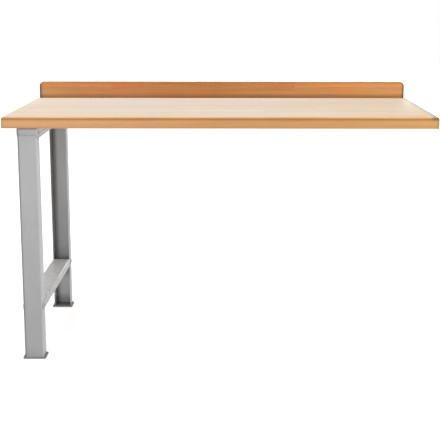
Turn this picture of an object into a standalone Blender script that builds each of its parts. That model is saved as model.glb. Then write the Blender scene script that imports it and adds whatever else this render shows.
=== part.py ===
"""Workbench extension unit: a beech worktop with an upstand, on one leg frame of folded sheet steel.

The leg frame stands near the left end. The right end is carried by the leg frame of the next bench,
which is bolted to the threaded inserts there. Metres, +Z up, front towards -Y. The origin is on the
floor, under the middle of the whole unit.
"""

import math

import bmesh
import bpy
from mathutils import Vector

# Clearance between two pieces that touch
FIT_GAP = 0.0003

# Worktop: a glued beech board
TOP_LENGTH = 1.500
TOP_DEPTH = 0.680
TOP_THICKNESS = 0.040
TOP_HEIGHT = 0.870  # floor to working surface
TOP_ROUND = 0.009  # radius of the upper edges
TOP_CORNER = 0.004  # radius of the upright corners
TOP_EASE = 0.0015  # radius of the lower edges, and of the upper one behind, against the backstop

# Backstop: a beech strip on the rear edge of the worktop, level with its underside
BACKSTOP_INSET = 0.013  # end of the worktop to the end of the backstop
BACKSTOP_THICKNESS = 0.020
BACKSTOP_RISE = 0.065  # above the working surface
BACKSTOP_CORNER = 0.018  # radius of the two upper end corners
BACKSTOP_EASE = 0.003

# Countersunk screws through the backstop into the edge of the worktop
SCREW_COUNT = 6
SCREW_END = 0.090  # end of the backstop to the nearest screw
SCREW_LENGTH = 0.060
SCREW_RADIUS = 0.0025
SCREW_HEAD_RADIUS = 0.005
SCREW_POINT = 0.007
SCREW_SINK = 0.0005  # head below the rear face
SCREW_SOCKET = 0.004  # across flats
SCREW_SOCKET_DEPTH = 0.002

# Sheet steel of the leg frame
SHEET = 0.0015
BEND = 0.0035  # inner radius of a fold

# Leg frame: two legs, a rail over their tops and a beam low down between them
FRAME_INSET = 0.0865  # left end of the worktop to the middle of the legs
FRAME_SETBACK = 0.002  # front edge of the worktop to the front of the rail
LEG_WIDTH = 0.067
LEG_DEPTH = 0.055
RAIL_FLANGE = 0.038
RAIL_LIP = 0.023  # shorter than the flanges, whose ends slope up to it at 45 degrees
BEAM_TOP = 0.205  # above the floor
BEAM_FLANGE = 0.027
BEAM_LAP = 0.045  # how far the ends of the beam reach along the flanges of a leg
NOTCH_RELIEF = 0.0002
NOTCH_END = 0.001  # end of the web of the beam to the open side of a leg

# Foot plates
FOOT_THICKNESS = 0.006
FOOT_MARGIN = 0.007  # past the leg on its two sides and on its open side
FOOT_CORNER = 0.005
FOOT_EASE = 0.001
ANCHOR_RADIUS = 0.0055  # hole for a floor anchor

# Bolts and nuts, M8
BOLT_RADIUS = 0.004
BOLT_LENGTH = 0.016
BOLT_CHAMFER = 0.0008
BUTTON_RADIUS = 0.007
BUTTON_HEIGHT = 0.0024  # a low head
BUTTON_RIM = 0.0007
BUTTON_STEPS = 4
SOCKET = 0.005  # across flats
SOCKET_DEPTH = 0.0018
NUT_ACROSS = 0.013
NUT_HEIGHT = 0.008
NUT_COLLAR_RADIUS = 0.0088
NUT_COLLAR_HEIGHT = 0.0018
NUT_COLLAR_TOP = 0.007
RAIL_BOLT_DROP = 0.021  # top of the rail to its bolts
BEAM_BOLT_DROP = 0.016  # top of the beam to its bolts
BEAM_BOLT_END = 0.014  # open side of the leg to the nearer bolt
BEAM_BOLT_PITCH = 0.020
BEAM_BOLT_COUNT = 2

# Hexagon bolts, washers and threaded inserts that hold the rail to the worktop
TOP_BOLT_COUNT = 4
TOP_BOLT_PITCH = 0.140
TOP_BOLT_LENGTH = 0.018
HEX_ACROSS = 0.013
HEX_HEIGHT = 0.0053
WASHER_RADIUS = 0.008
WASHER_THICKNESS = 0.0016
INSERT_RADIUS = 0.0065
INSERT_LENGTH = 0.018
INSERT_SINK = 0.0005  # below the underside of the worktop

# Fineness of round shapes
ROUND_STEPS = 4
BEND_STEPS = 3
FASTENER_SIDES = 12
MERGE = 0.00001
SHARP_ANGLE = math.radians(35)

# How far a cutter runs past what it cuts
OVERRUN = 0.010

QUARTER = math.pi / 2
X, Y, Z = range(3)

# Places that follow from the sizes above
OVERALL_DEPTH = TOP_DEPTH + FIT_GAP + BACKSTOP_THICKNESS
FRONT = -OVERALL_DEPTH / 2
BACK = OVERALL_DEPTH / 2
TOP_REAR = FRONT + TOP_DEPTH
UNDERSIDE = TOP_HEIGHT - TOP_THICKNESS
BACKSTOP_LENGTH = TOP_LENGTH - 2 * BACKSTOP_INSET

FOLD = BEND + SHEET  # outer radius of a fold
FRAME_X = FRAME_INSET - TOP_LENGTH / 2
FRAME_FRONT = FRONT + FRAME_SETBACK
FRAME_MIDDLE = (FRAME_FRONT + BACK) / 2
SLEEVE_WIDTH = LEG_WIDTH + 2 * (FIT_GAP + SHEET)  # rail and beam, outside
SLEEVE_INNER = SLEEVE_WIDTH - 2 * SHEET
RAIL_TOP = UNDERSIDE - FIT_GAP
LEG_FRONT = FRAME_FRONT + SHEET + FIT_GAP
LEG_BACK = BACK - SHEET - FIT_GAP
LEG_FOOT = FOOT_THICKNESS + FIT_GAP
LEG_LENGTH = RAIL_TOP - FOLD - FIT_GAP - LEG_FOOT
FRONT_LEG_OPEN = LEG_FRONT + LEG_DEPTH
REAR_LEG_OPEN = LEG_BACK - LEG_DEPTH
BEAM_FRONT = FRONT_LEG_OPEN - BEAM_LAP
BEAM_LENGTH = REAR_LEG_OPEN + BEAM_LAP - BEAM_FRONT
FOOT_DEPTH = SHEET + FIT_GAP + LEG_DEPTH + FOOT_MARGIN
RAIL_BOLT_Z = RAIL_TOP - RAIL_BOLT_DROP
BEAM_BOLT_Z = BEAM_TOP - BEAM_BOLT_DROP
LEG_MIDDLES = {"front": LEG_FRONT + LEG_DEPTH / 2, "rear": LEG_BACK - LEG_DEPTH / 2}
HOLE_RADIUS = BOLT_RADIUS + FIT_GAP


def clear_scene():
    for obj in list(bpy.data.objects):
        bpy.data.objects.remove(obj)


def new_collection(name):
    group = bpy.data.collections.new(name)
    bpy.context.scene.collection.children.link(group)
    return group


def new_material(name, colour, roughness, metallic):
    finish = bpy.data.materials.new(name)
    finish.use_nodes = True
    shader = finish.node_tree.nodes["Principled BSDF"]
    shader.inputs["Base Color"].default_value = (*colour, 1)
    shader.inputs["Roughness"].default_value = roughness
    shader.inputs["Metallic"].default_value = metallic
    return finish


def link_mesh(name, mesh, group):
    obj = bpy.data.objects.new(name, mesh)
    group.objects.link(obj)
    if group is CUTTERS:
        obj.hide_render = True
        obj.display_type = "WIRE"
    else:
        obj.parent = UNIT
    return obj


def link_bmesh(name, bm, group):
    mesh = bpy.data.meshes.new(name)
    bm.to_mesh(mesh)
    bm.free()
    return link_mesh(name, mesh, group)


def box(name, low, high, group):
    """A box between two corners, with its origin at its middle."""
    low = Vector(low)
    high = Vector(high)
    bm = bmesh.new()
    bmesh.ops.create_cube(bm, size=1)
    bmesh.ops.scale(bm, vec=high - low, verts=bm.verts)
    obj = link_bmesh(name, bm, group)
    obj.location = (low + high) / 2
    return obj


def prism(name, radius, low, high, sides, group):
    """An upright cylinder or prism about its own Z axis, between two heights."""
    bm = bmesh.new()
    bmesh.ops.create_cone(
        bm, cap_ends=True, segments=sides, radius1=radius, radius2=radius, depth=high - low
    )
    bmesh.ops.translate(bm, vec=(0, 0, (low + high) / 2), verts=bm.verts)
    return link_bmesh(name, bm, group)


def wedge(name, outline, width, group):
    """An outline of (y, z) points, drawn out sideways to a width about x = 0."""
    bm = bmesh.new()
    face = bm.faces.new([bm.verts.new((-width / 2, y, z)) for y, z in outline])
    swept = bmesh.ops.extrude_face_region(bm, geom=[face])["geom"]
    far_verts = [item for item in swept if isinstance(item, bmesh.types.BMVert)]
    bmesh.ops.translate(bm, vec=(width, 0, 0), verts=far_verts)
    bmesh.ops.recalc_face_normals(bm, faces=bm.faces)
    return link_bmesh(name, bm, group)


def turned(name, profile, group, ring=False):
    """A shape turned about its own Z axis, from (radius, height) points listed down its outer side."""
    points = [(radius, 0, height) for radius, height in profile]
    edges = [(i, i + 1) for i in range(len(points) - 1)]
    if ring:
        edges.append((len(points) - 1, 0))
    mesh = bpy.data.meshes.new(name)
    mesh.from_pydata(points, edges, [])
    obj = link_mesh(name, mesh, group)
    turn = obj.modifiers.new("turn", "SCREW")
    turn.axis = "Z"
    turn.steps = FASTENER_SIDES
    turn.render_steps = FASTENER_SIDES
    turn.use_merge_vertices = True
    turn.merge_threshold = MERGE
    return obj


def channel(name, width, flange, length, group):
    """A folded channel that runs along its own +Y, its web on top at z = 0 and a flange down each side."""
    half = width / 2
    bm = bmesh.new()
    section = [(-half, -flange), (-half, 0), (half, 0), (half, -flange)]
    verts = [bm.verts.new((x, 0, z)) for x, z in section]
    edges = [bm.edges.new(pair) for pair in zip(verts, verts[1:])]
    swept = bmesh.ops.extrude_edge_only(bm, edges=edges)["geom"]
    far_verts = [item for item in swept if isinstance(item, bmesh.types.BMVert)]
    bmesh.ops.translate(bm, vec=(0, length, 0), verts=far_verts)
    bm.normal_update()
    web = max(bm.faces, key=lambda face: face.calc_center_median().z)
    if web.normal.z < 0:
        bmesh.ops.reverse_faces(bm, faces=bm.faces)
    obj = link_bmesh(name, bm, group)
    round_edges(obj, [(is_fold, FOLD)], BEND_STEPS)
    wall = obj.modifiers.new("sheet", "SOLIDIFY")
    wall.thickness = SHEET
    wall.offset = -1
    wall.use_even_offset = True
    return obj


def edge_axis(edge):
    run = edge.verts[1].co - edge.verts[0].co
    return max(X, Y, Z, key=lambda axis: abs(run[axis]))


def edge_middle(edge):
    return (edge.verts[0].co + edge.verts[1].co) / 2


def is_upright(edge):
    return edge_axis(edge) == Z


def is_upper(edge):
    return not is_upright(edge) and edge_middle(edge).z > 0


def is_lower(edge):
    return not is_upright(edge) and edge_middle(edge).z < 0


def is_fold(edge):
    return edge_axis(edge) == Y and not edge.is_boundary


def is_upper_corner(edge):
    return is_upper(edge) and edge_axis(edge) == Y


def is_upper_rear(edge):
    return is_upper(edge) and edge_middle(edge).y > 0 and edge_axis(edge) == X


def round_edges(obj, rules, steps):
    """Rounds the edges that each (test, radius) rule picks."""
    widest = max(radius for _, radius in rules)
    bm = bmesh.new()
    bm.from_mesh(obj.data)
    weight = bm.edges.layers.float.new("bevel_weight_edge")
    for edge in bm.edges:
        for picks, radius in rules:
            if picks(edge):
                edge[weight] = radius / widest
    bm.to_mesh(obj.data)
    bm.free()
    bevel = obj.modifiers.new("rounding", "BEVEL")
    bevel.limit_method = "WEIGHT"
    bevel.width = widest
    bevel.segments = steps


def ease_edges(obj, radius, steps):
    """Rounds every sharp edge that is left."""
    bevel = obj.modifiers.new("easing", "BEVEL")
    bevel.limit_method = "ANGLE"
    bevel.angle_limit = SHARP_ANGLE
    bevel.width = radius
    bevel.segments = steps


def cut(obj, cutter):
    boolean = obj.modifiers.new("cut " + cutter.name, "BOOLEAN")
    boolean.operation = "DIFFERENCE"
    boolean.object = cutter


def join(obj, other):
    boolean = obj.modifiers.new("join " + other.name, "BOOLEAN")
    boolean.operation = "UNION"
    boolean.object = other


def repeat(cutter, step, count):
    """A row of a cutter, each a step from the last in the cutter's own axes."""
    row = cutter.modifiers.new("row", "ARRAY")
    row.use_relative_offset = False
    row.use_constant_offset = True
    row.constant_offset_displace = step
    row.count = count


def settled_mesh(master, helpers=()):
    """The finished mesh of a master shape. The master and its helpers are removed."""
    graph = bpy.context.evaluated_depsgraph_get()
    mesh = bpy.data.meshes.new_from_object(master.evaluated_get(graph))
    mesh.name = master.name
    mesh.shade_smooth()
    mesh.set_sharp_from_angle(angle=SHARP_ANGLE)
    for obj in (master, *helpers):
        bpy.data.objects.remove(obj)
    return mesh


def place(name, mesh, location, turn=(0, 0, 0)):
    obj = link_mesh(name, mesh, PARTS)
    obj.location = location
    obj.rotation_euler = turn
    return obj


def finish(obj, surface):
    obj.data.materials.clear()
    obj.data.materials.append(surface)
    return obj


def screw_profile(extra):
    """A countersunk screw, point down, its head level with z = 0 and grown all round by extra."""
    shank = SCREW_RADIUS + extra
    head = SCREW_HEAD_RADIUS + extra
    return [
        (head, 0),
        (shank, shank - head),
        (shank, SCREW_POINT - SCREW_LENGTH),
        (0, -SCREW_LENGTH - extra),
    ]


def screw_places():
    pitch = (BACKSTOP_LENGTH - 2 * SCREW_END) / (SCREW_COUNT - 1)
    first = SCREW_END - BACKSTOP_LENGTH / 2
    height = UNDERSIDE + TOP_THICKNESS / 2
    return [(first + i * pitch, BACK - SCREW_SINK, height) for i in range(SCREW_COUNT)]


def make_screw_holes():
    """A cutter for the row of screw holes, open at the rear face of the backstop."""
    body = screw_profile(FIT_GAP)
    mouth = [(0, OVERRUN), (body[0][0], OVERRUN)]
    places = screw_places()
    hole = turned("screw_holes", mouth + body, CUTTERS)
    repeat(hole, (places[1][X] - places[0][X], 0, 0), SCREW_COUNT)
    hole.location = places[0]
    hole.rotation_euler = (-QUARTER, 0, 0)
    return hole


def top_bolt_rows():
    """The Y place of each bolt through the rail."""
    first = FRAME_MIDDLE - TOP_BOLT_PITCH * (TOP_BOLT_COUNT - 1) / 2
    return [first + i * TOP_BOLT_PITCH for i in range(TOP_BOLT_COUNT)]


def make_worktop(screw_holes):
    half = TOP_LENGTH / 2
    top = box("worktop", (-half, FRONT, UNDERSIDE), (half, TOP_REAR, TOP_HEIGHT), PARTS)
    round_edges(
        top,
        [
            (is_upright, TOP_CORNER),
            (is_upper, TOP_ROUND),
            (is_upper_rear, TOP_EASE),
            (is_lower, TOP_EASE),
        ],
        ROUND_STEPS,
    )
    depth = INSERT_SINK + INSERT_LENGTH + FIT_GAP
    radius = INSERT_RADIUS + FIT_GAP
    insert_holes = prism("insert_holes", radius, -OVERRUN, depth, FASTENER_SIDES, CUTTERS)
    insert_holes.location = (FRAME_X, top_bolt_rows()[0], UNDERSIDE)
    repeat(insert_holes, (0, TOP_BOLT_PITCH, 0), TOP_BOLT_COUNT)
    repeat(insert_holes, (-2 * FRAME_X, 0, 0), 2)
    cut(top, insert_holes)
    cut(top, screw_holes)
    finish(top, BEECH)


def make_backstop(screw_holes):
    half = BACKSTOP_LENGTH / 2
    low = (-half, TOP_REAR + FIT_GAP, UNDERSIDE)
    high = (half, BACK, TOP_HEIGHT + BACKSTOP_RISE)
    strip = box("backstop", low, high, PARTS)
    round_edges(strip, [(is_upper_corner, BACKSTOP_CORNER)], ROUND_STEPS)
    ease_edges(strip, BACKSTOP_EASE, 2)
    cut(strip, screw_holes)
    finish(strip, UPSTAND_BEECH)


def make_screws():
    screw = turned("screw", [(0, 0)] + screw_profile(0), PARTS)
    socket_radius = SCREW_SOCKET / math.sqrt(3)
    socket = prism("screw_socket", socket_radius, -SCREW_SOCKET_DEPTH, OVERRUN, 6, CUTTERS)
    cut(screw, socket)
    mesh = settled_mesh(screw, [socket])
    for i, spot in enumerate(screw_places()):
        finish(place(f"backstop_screw_{i + 1}", mesh, spot, (-QUARTER, 0, 0)), ZINC)


def cross_drill(name, middle, height, count=1, pitch=0):
    """A cutter for bolt holes right through the frame from side to side, centred on a Y place."""
    reach = SLEEVE_WIDTH / 2 + OVERRUN
    drill = prism(name, HOLE_RADIUS, -reach, reach, FASTENER_SIDES, CUTTERS)
    drill.rotation_euler = (0, QUARTER, 0)
    drill.location = (FRAME_X, middle - pitch * (count - 1) / 2, height)
    repeat(drill, (0, pitch, 0), count)
    return drill


def beam_bolt_middle(leg):
    """The Y place half-way along the row of beam bolts in a leg."""
    inset = BEAM_BOLT_END + BEAM_BOLT_PITCH * (BEAM_BOLT_COUNT - 1) / 2
    return {"front": FRONT_LEG_OPEN - inset, "rear": REAR_LEG_OPEN + inset}[leg]


def make_drills():
    drills = {}
    for leg, middle in LEG_MIDDLES.items():
        rail_drill = cross_drill(f"{leg}_rail_holes", middle, RAIL_BOLT_Z)
        beam_row = (BEAM_BOLT_COUNT, BEAM_BOLT_PITCH)
        beam_drill = cross_drill(f"{leg}_beam_holes", beam_bolt_middle(leg), BEAM_BOLT_Z, *beam_row)
        drills[leg] = (rail_drill, beam_drill)
    return drills


def make_legs(drills):
    stands = {"front": (LEG_FRONT, (QUARTER, 0, 0)), "rear": (LEG_BACK, (QUARTER, 0, math.pi))}
    for leg, (web_y, turn) in stands.items():
        post = channel(f"{leg}_leg", LEG_WIDTH, LEG_DEPTH, LEG_LENGTH, PARTS)
        post.location = (FRAME_X, web_y, LEG_FOOT)
        post.rotation_euler = turn
        for drill in drills[leg]:
            cut(post, drill)
        finish(post, GREY_PAINT)


def make_rail(drills):
    half = SLEEVE_WIDTH / 2
    inner = SLEEVE_INNER / 2
    floor = RAIL_TOP - RAIL_FLANGE
    low = (FRAME_X - half, FRAME_FRONT, floor)
    rail = box("top_rail", low, (FRAME_X + half, BACK, RAIL_TOP), PARTS)
    round_edges(rail, [(is_upright, FOLD), (is_upper, FOLD)], BEND_STEPS)

    cavity_low = (FRAME_X - inner, FRAME_FRONT + SHEET, floor - OVERRUN)
    cavity_high = (FRAME_X + inner, BACK - SHEET, RAIL_TOP - SHEET)
    cavity = box("rail_cavity", cavity_low, cavity_high, CUTTERS)
    round_edges(cavity, [(is_upright, BEND), (is_upper, BEND)], BEND_STEPS)
    cut(rail, cavity)

    # Below each lip the ends of the flanges are cut back, sloping down to their full depth
    lip_floor = RAIL_TOP - RAIL_LIP
    cutter_floor = floor - OVERRUN
    slope_run = lip_floor - cutter_floor
    for end, wall, inward in (("front", FRAME_FRONT, 1), ("rear", BACK, -1)):
        outside = wall - inward * OVERRUN
        corner = wall + inward * FOLD
        outline = [
            (outside, lip_floor),
            (corner, lip_floor),
            (corner + inward * slope_run, cutter_floor),
            (outside, cutter_floor),
        ]
        mouth = wedge(f"{end}_rail_mouth", outline, SLEEVE_WIDTH + OVERRUN, CUTTERS)
        mouth.location.x = FRAME_X
        cut(rail, mouth)

    web_drill = prism("rail_web_holes", HOLE_RADIUS, -OVERRUN, OVERRUN, FASTENER_SIDES, CUTTERS)
    web_drill.location = (FRAME_X, top_bolt_rows()[0], RAIL_TOP - SHEET / 2)
    repeat(web_drill, (0, TOP_BOLT_PITCH, 0), TOP_BOLT_COUNT)
    cut(rail, web_drill)
    for leg in LEG_MIDDLES:
        cut(rail, drills[leg][0])
    finish(rail, GREY_PAINT)


def make_beam(drills):
    beam = channel("cross_beam", SLEEVE_WIDTH, BEAM_FLANGE, BEAM_LENGTH, PARTS)
    beam.location = (FRAME_X, BEAM_FRONT, BEAM_TOP)

    # At both ends the web is cut away, so that only the flanges go on past the legs
    reach = SLEEVE_INNER / 2 + NOTCH_RELIEF
    notch_floor = BEAM_TOP - FOLD - NOTCH_RELIEF
    ends = {
        "front": (BEAM_FRONT - OVERRUN, FRONT_LEG_OPEN + NOTCH_END),
        "rear": (REAR_LEG_OPEN - NOTCH_END, BEAM_FRONT + BEAM_LENGTH + OVERRUN),
    }
    for leg, (start, end) in ends.items():
        low = (FRAME_X - reach, start, notch_floor)
        high = (FRAME_X + reach, end, BEAM_TOP + OVERRUN)
        cut(beam, box(f"{leg}_beam_notch", low, high, CUTTERS))
        cut(beam, drills[leg][1])
    finish(beam, GREY_PAINT)


def make_feet():
    half = LEG_WIDTH / 2 + FOOT_MARGIN
    rows = {"front": FRAME_FRONT, "rear": BACK - FOOT_DEPTH}
    for leg, start in rows.items():
        low = (FRAME_X - half, start, 0)
        high = (FRAME_X + half, start + FOOT_DEPTH, FOOT_THICKNESS)
        plate = box(f"{leg}_foot_plate", low, high, PARTS)
        round_edges(plate, [(is_upright, FOOT_CORNER), (is_upper, FOOT_EASE)], BEND_STEPS)
        reach = FOOT_THICKNESS + OVERRUN
        anchor = prism(f"{leg}_anchor_hole", ANCHOR_RADIUS, -OVERRUN, reach, FASTENER_SIDES, CUTTERS)
        anchor.location = (FRAME_X, LEG_MIDDLES[leg], 0)
        cut(plate, anchor)
        finish(plate, DARK_PAINT)


def shank_profile(length):
    return [
        (BOLT_RADIUS, 0),
        (BOLT_RADIUS, BOLT_CHAMFER - length),
        (BOLT_RADIUS - BOLT_CHAMFER, -length),
        (0, -length),
    ]


def button_bolt_mesh():
    """A button-head bolt, point down, the underside of its head at z = 0."""
    crown = BUTTON_HEIGHT - BUTTON_RIM
    dome = []
    for i in range(BUTTON_STEPS + 1):
        angle = QUARTER * (1 - i / BUTTON_STEPS)
        dome.append((BUTTON_RADIUS * math.cos(angle), BUTTON_RIM + crown * math.sin(angle)))
    dome[0] = (0, BUTTON_HEIGHT)
    bolt = turned("button_bolt", dome + [(BUTTON_RADIUS, 0)] + shank_profile(BOLT_LENGTH), PARTS)
    socket_floor = BUTTON_HEIGHT - SOCKET_DEPTH
    socket = prism("bolt_socket", SOCKET / math.sqrt(3), socket_floor, OVERRUN, 6, CUTTERS)
    cut(bolt, socket)
    return settled_mesh(bolt, [socket])


def nut_mesh():
    """A hexagon nut on a round collar, with its seat at z = 0."""
    collar = [
        (0, NUT_COLLAR_HEIGHT),
        (NUT_COLLAR_TOP, NUT_COLLAR_HEIGHT),
        (NUT_COLLAR_RADIUS, 0),
        (0, 0),
    ]
    nut = turned("flange_nut", collar, PARTS)
    base = NUT_COLLAR_HEIGHT / 2
    body = prism("nut_body", NUT_ACROSS / math.sqrt(3), base, NUT_HEIGHT, 6, CUTTERS)
    bore = prism("nut_bore", HOLE_RADIUS, -OVERRUN, NUT_HEIGHT + OVERRUN, FASTENER_SIDES, CUTTERS)
    join(nut, body)
    cut(nut, bore)
    return settled_mesh(nut, [body, bore])


def make_side_bolts():
    """The bolts and nuts through the flanges of the legs, heads outside."""
    bolt = button_bolt_mesh()
    nut = nut_mesh()
    spots = {}
    for leg, middle in LEG_MIDDLES.items():
        spots[f"rail_%s_{leg}"] = (middle, RAIL_BOLT_Z)
        first = beam_bolt_middle(leg) - BEAM_BOLT_PITCH * (BEAM_BOLT_COUNT - 1) / 2
        for i in range(BEAM_BOLT_COUNT):
            spots[f"beam_%s_{leg}_{i + 1}"] = (first + i * BEAM_BOLT_PITCH, BEAM_BOLT_Z)
    head_reach = SLEEVE_WIDTH / 2 + FIT_GAP
    nut_reach = LEG_WIDTH / 2 - SHEET - FIT_GAP
    for side, outward in {"left": -1, "right": 1}.items():
        for name, (y, z) in spots.items():
            head_spot = (FRAME_X + outward * head_reach, y, z)
            nut_spot = (FRAME_X + outward * nut_reach, y, z)
            finish(place(name % "bolt" + "_" + side, bolt, head_spot, (0, outward * QUARTER, 0)), GREY_PAINT)
            finish(place(name % "nut" + "_" + side, nut, nut_spot, (0, -outward * QUARTER, 0)), ZINC)


def hex_bolt_mesh():
    """A hexagon bolt, point down, the underside of its head at z = 0."""
    head = prism("hex_bolt", HEX_ACROSS / math.sqrt(3), 0, HEX_HEIGHT, 6, PARTS)
    neck = [(0, HEX_HEIGHT / 2), (BOLT_RADIUS, HEX_HEIGHT / 2)]
    shank = turned("hex_bolt_shank", neck + shank_profile(TOP_BOLT_LENGTH)[1:], CUTTERS)
    join(head, shank)
    return settled_mesh(head, [shank])


def ring_mesh(name, outer, inner, low, high):
    section = [(outer, high), (outer, low), (inner, low), (inner, high)]
    return settled_mesh(turned(name, section, PARTS, ring=True))


def make_top_fixings():
    """The bolts and washers under the web of the rail, and the inserts in the worktop at both ends."""
    bolt = hex_bolt_mesh()
    washer = ring_mesh("washer", WASHER_RADIUS, HOLE_RADIUS, 0, WASHER_THICKNESS)
    insert = ring_mesh("insert", INSERT_RADIUS, HOLE_RADIUS, 0, INSERT_LENGTH)
    washer_z = RAIL_TOP - SHEET - FIT_GAP - WASHER_THICKNESS
    insert_z = UNDERSIDE + INSERT_SINK
    for i, y in enumerate(top_bolt_rows()):
        number = i + 1
        finish(place(f"top_washer_{number}", washer, (FRAME_X, y, washer_z)), ZINC)
        bolt_spot = (FRAME_X, y, washer_z - FIT_GAP)
        finish(place(f"top_bolt_{number}", bolt, bolt_spot, (math.pi, 0, 0)), ZINC)
        finish(place(f"left_insert_{number}", insert, (FRAME_X, y, insert_z)), BRASS)
        finish(place(f"right_insert_{number}", insert, (-FRAME_X, y, insert_z)), BRASS)


clear_scene()
PARTS = new_collection("workbench_extension")
CUTTERS = new_collection("cutters")
UNIT = bpy.data.objects.new("unit_origin", None)
PARTS.objects.link(UNIT)

BEECH = new_material("beech_worktop", (0.62, 0.36, 0.16), 0.4, 0)
UPSTAND_BEECH = new_material("beech_upstand", (0.58, 0.26, 0.09), 0.4, 0)
GREY_PAINT = new_material("grey_paint", (0.42, 0.42, 0.41), 0.45, 0)
DARK_PAINT = new_material("dark_grey_paint", (0.17, 0.17, 0.17), 0.5, 0)
ZINC = new_material("zinc_steel", (0.62, 0.62, 0.60), 0.35, 1)
BRASS = new_material("brass", (0.72, 0.55, 0.25), 0.35, 1)

holes = make_screw_holes()
make_worktop(holes)
make_backstop(holes)
make_screws()
bolt_drills = make_drills()
make_legs(bolt_drills)
make_rail(bolt_drills)
make_beam(bolt_drills)
make_feet()
make_side_bolts()
make_top_fixings()
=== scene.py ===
import bpy
import bmesh
import math
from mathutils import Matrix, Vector


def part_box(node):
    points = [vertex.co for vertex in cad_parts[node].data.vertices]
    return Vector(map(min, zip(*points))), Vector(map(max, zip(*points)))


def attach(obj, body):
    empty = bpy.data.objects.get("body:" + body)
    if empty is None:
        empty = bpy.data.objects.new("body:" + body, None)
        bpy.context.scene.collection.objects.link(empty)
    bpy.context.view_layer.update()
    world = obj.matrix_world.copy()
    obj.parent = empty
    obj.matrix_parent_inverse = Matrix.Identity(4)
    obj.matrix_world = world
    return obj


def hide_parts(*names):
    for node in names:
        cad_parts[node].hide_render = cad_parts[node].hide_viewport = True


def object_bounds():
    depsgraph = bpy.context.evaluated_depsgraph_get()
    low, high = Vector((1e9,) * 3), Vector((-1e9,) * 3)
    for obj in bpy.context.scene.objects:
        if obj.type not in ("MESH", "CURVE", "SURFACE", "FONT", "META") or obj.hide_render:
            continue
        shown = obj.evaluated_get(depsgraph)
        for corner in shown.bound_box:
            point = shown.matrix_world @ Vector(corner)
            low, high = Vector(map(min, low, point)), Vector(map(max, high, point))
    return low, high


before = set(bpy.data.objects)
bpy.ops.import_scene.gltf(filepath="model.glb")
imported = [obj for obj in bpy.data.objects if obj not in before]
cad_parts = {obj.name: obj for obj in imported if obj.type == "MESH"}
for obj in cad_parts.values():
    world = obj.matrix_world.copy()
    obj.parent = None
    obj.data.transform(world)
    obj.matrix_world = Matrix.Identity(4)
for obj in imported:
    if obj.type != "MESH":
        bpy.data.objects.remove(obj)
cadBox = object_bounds()
print("frame loaded:", len(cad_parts), "nodes")

quarter = math.pi / 2
rootThree = math.sqrt(3)
mergeGap = 0.000001  # points nearer than this are one
mostly = 0.5  # share of a normal along an axis that counts as facing it


# general tools

def deselectAll():
    bpy.ops.object.select_all(action="DESELECT")


def makeActive(piece):
    deselectAll()
    piece.select_set(True)
    bpy.context.view_layer.objects.active = piece


def nameAndApply(name):
    piece = bpy.context.object
    piece.name = name
    piece.data.name = name
    bpy.ops.object.transform_apply(location=True, rotation=True, scale=True)
    return piece


def startCube(name, low, high):
    deselectAll()
    size = [b - a for a, b in zip(low, high)]
    middle = [(a + b) / 2 for a, b in zip(low, high)]
    bpy.ops.mesh.primitive_cube_add(size=1, location=middle, scale=size)
    return nameAndApply(name)


def startCylinder(name, radius, depth, sides, location=(0, 0, 0), rotation=(0, 0, 0)):
    deselectAll()
    bpy.ops.mesh.primitive_cylinder_add(vertices=sides, radius=radius, depth=depth,
                                        location=location, rotation=rotation)
    return nameAndApply(name)


def editMode(piece, kind="VERT"):
    makeActive(piece)
    bpy.ops.object.mode_set(mode="EDIT")
    bpy.ops.mesh.select_mode(type=kind)


def objectMode():
    bpy.ops.object.mode_set(mode="OBJECT")


def mergeDoubles():
    bpy.ops.mesh.select_all(action="SELECT")
    bpy.ops.mesh.remove_doubles(threshold=mergeGap)


def applyModifier(piece, modifier):
    makeActive(piece)
    bpy.ops.object.modifier_apply(modifier=modifier.name)


def edgeRun(edge):  # the axis that an edge follows most
    run = edge.verts[1].co - edge.verts[0].co
    return max(range(3), key=lambda axis: abs(run[axis]))


def edgeMiddle(edge):
    return (edge.verts[0].co + edge.verts[1].co) / 2


def pick(piece, kind, test):  # leaves the piece in edit mode with what passes the test selected
    editMode(piece, kind)
    bpy.ops.mesh.select_all(action="DESELECT")
    mesh = bmesh.from_edit_mesh(piece.data)
    for item in {"EDGE": mesh.edges, "FACE": mesh.faces}[kind]:
        item.select_set(test(item))
    mesh.select_flush_mode()
    bmesh.update_edit_mesh(piece.data)


def bevelEdges(piece, test, radius, steps):
    pick(piece, "EDGE", test)
    bpy.ops.mesh.bevel(offset=radius, segments=steps, profile=0.5, affect="EDGES")
    objectMode()


def deleteFaces(piece, test):
    pick(piece, "FACE", test)
    bpy.ops.mesh.delete(type="FACE")
    objectMode()


def moveEdges(piece, test, step):
    pick(piece, "EDGE", test)
    bpy.ops.transform.translate(value=step)
    objectMode()


def weightedBevel(piece, rules, steps):  # rules: (test, radius); different radii can meet at a corner
    widest = max(radius for test, radius in rules)
    mesh = bmesh.new()
    mesh.from_mesh(piece.data)
    weight = mesh.edges.layers.float.new("bevel_weight_edge")
    for edge in mesh.edges:
        for test, radius in rules:
            if test(edge):
                edge[weight] = radius / widest
    mesh.to_mesh(piece.data)
    mesh.free()
    bevel = piece.modifiers.new("edges", "BEVEL")
    bevel.limit_method = "WEIGHT"
    bevel.width = widest
    bevel.segments = steps
    applyModifier(piece, bevel)


def easeSharp(piece, radius, steps=2, angle=40):
    bevel = piece.modifiers.new("ease", "BEVEL")
    bevel.limit_method = "ANGLE"
    bevel.angle_limit = math.radians(angle)
    bevel.width = radius
    bevel.segments = steps
    applyModifier(piece, bevel)


def thicken(piece, wall):
    editMode(piece)
    mergeDoubles()
    objectMode()
    solid = piece.modifiers.new("sheet", "SOLIDIFY")
    solid.thickness = wall
    solid.offset = -1
    solid.use_even_offset = True
    applyModifier(piece, solid)


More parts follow.
